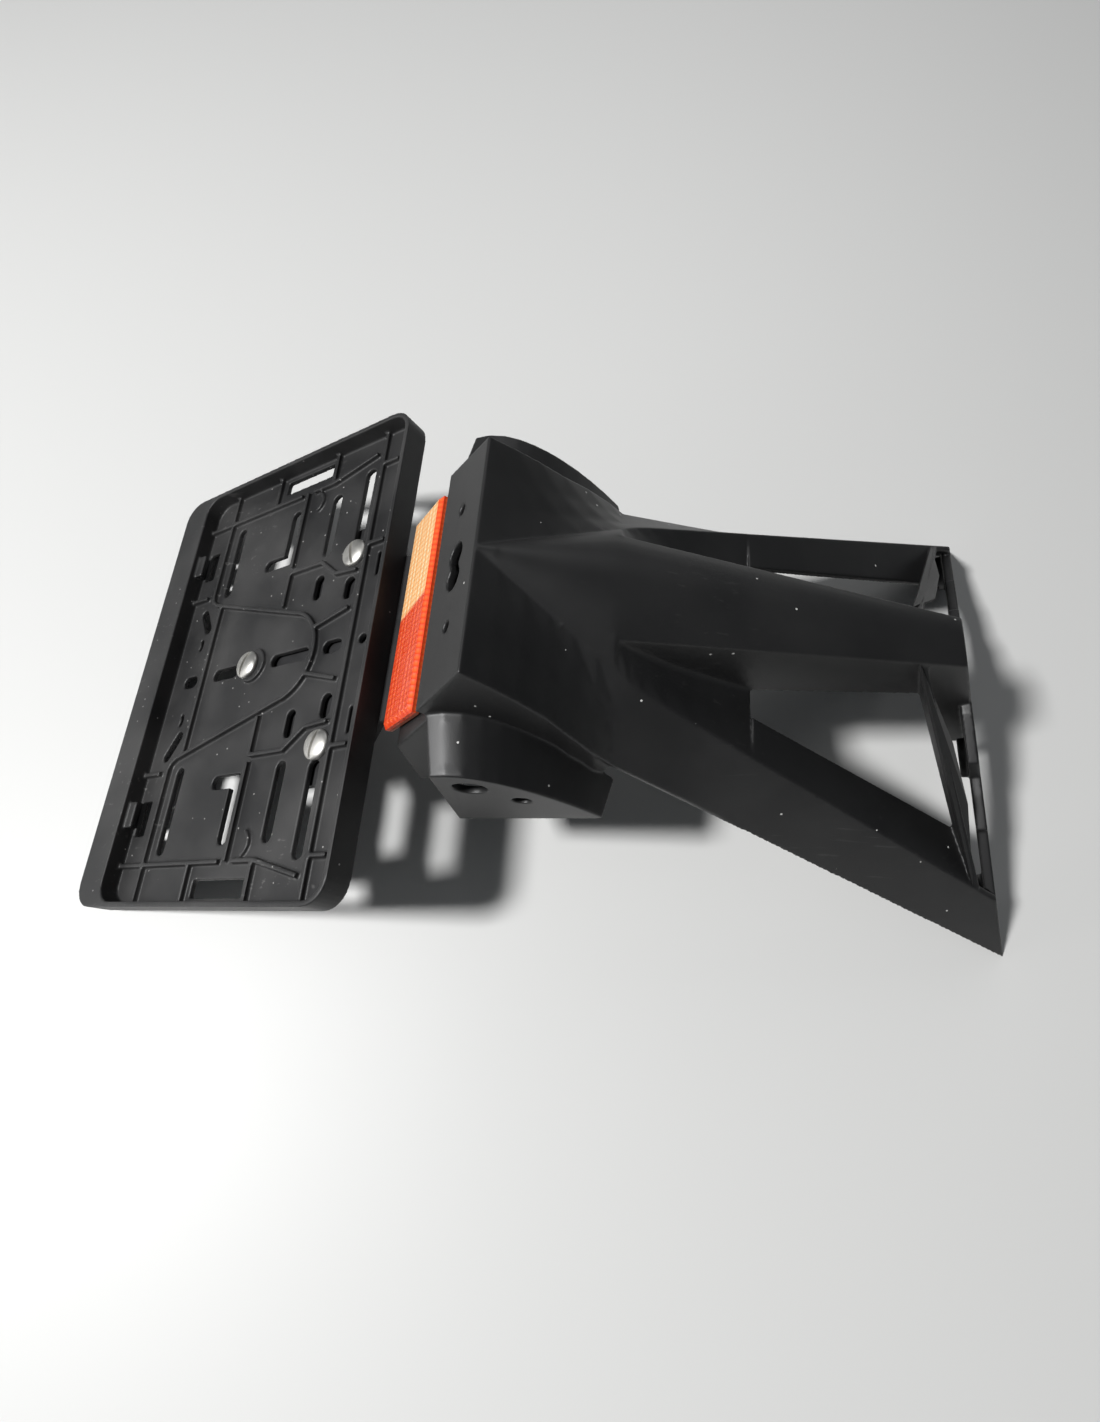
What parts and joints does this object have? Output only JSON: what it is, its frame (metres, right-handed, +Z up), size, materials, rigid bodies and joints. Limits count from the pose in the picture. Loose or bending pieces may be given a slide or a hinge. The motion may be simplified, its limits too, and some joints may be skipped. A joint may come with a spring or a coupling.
{
  "type": "motorcycle tail tidy",
  "caption": "Moulded tail section for a motorbike, with a number plate tray on a bent carrier and a rear reflector.",
  "frame": {"origin": "middle of the footprint on the bench, under the hood", "axes": "+X from the plate tray to the legs' mounting end, +Y across the bike, +Z up from the bench"},
  "size_m": [0.407, 0.217, 0.1442],
  "materials": {
    "shell_plastic": "satin black, fine grain",
    "tray_plastic": "matte black, dusty",
    "carrier_paint": "black powder coat",
    "zinc_steel": "bright zinc",
    "dark_steel": "plain steel",
    "insert_brass": "knurled",
    "lens": "red prismatic reflector",
    "lens_back": "red-brown",
    "foam_tape": "closed-cell foam"
  },
  "bodies": {
    "root": {"tail_shell": "shell_plastic", "plate_carrier": "carrier_paint", "plate_tray": "tray_plastic", "tray_screw_left": "zinc_steel", "tray_washer_left": "zinc_steel", "tray_nut_left": "zinc_steel", "tray_screw_right": "zinc_steel", "tray_washer_right": "zinc_steel", "tray_nut_right": "zinc_steel", "tray_screw_low": "zinc_steel", "tray_washer_low": "zinc_steel", "tray_nut_low": "zinc_steel", "carrier_bolt_1": "dark_steel", "carrier_washer_1": "zinc_steel", "carrier_insert_1": "insert_brass", "mount_sleeve_1": "dark_steel", "carrier_bolt_2": "dark_steel", "carrier_washer_2": "zinc_steel", "carrier_insert_2": "insert_brass", "mount_sleeve_2": "dark_steel", "carrier_bolt_3": "dark_steel", "carrier_washer_3": "zinc_steel", "carrier_insert_3": "insert_brass", "mount_sleeve_3": "dark_steel", "carrier_bolt_4": "dark_steel", "carrier_washer_4": "zinc_steel", "carrier_insert_4": "insert_brass", "mount_sleeve_4": "dark_steel", "reflector_lens": "lens", "reflector_back": "lens_back", "reflector_tape": "foam_tape"}
  },
  "joints": []
}
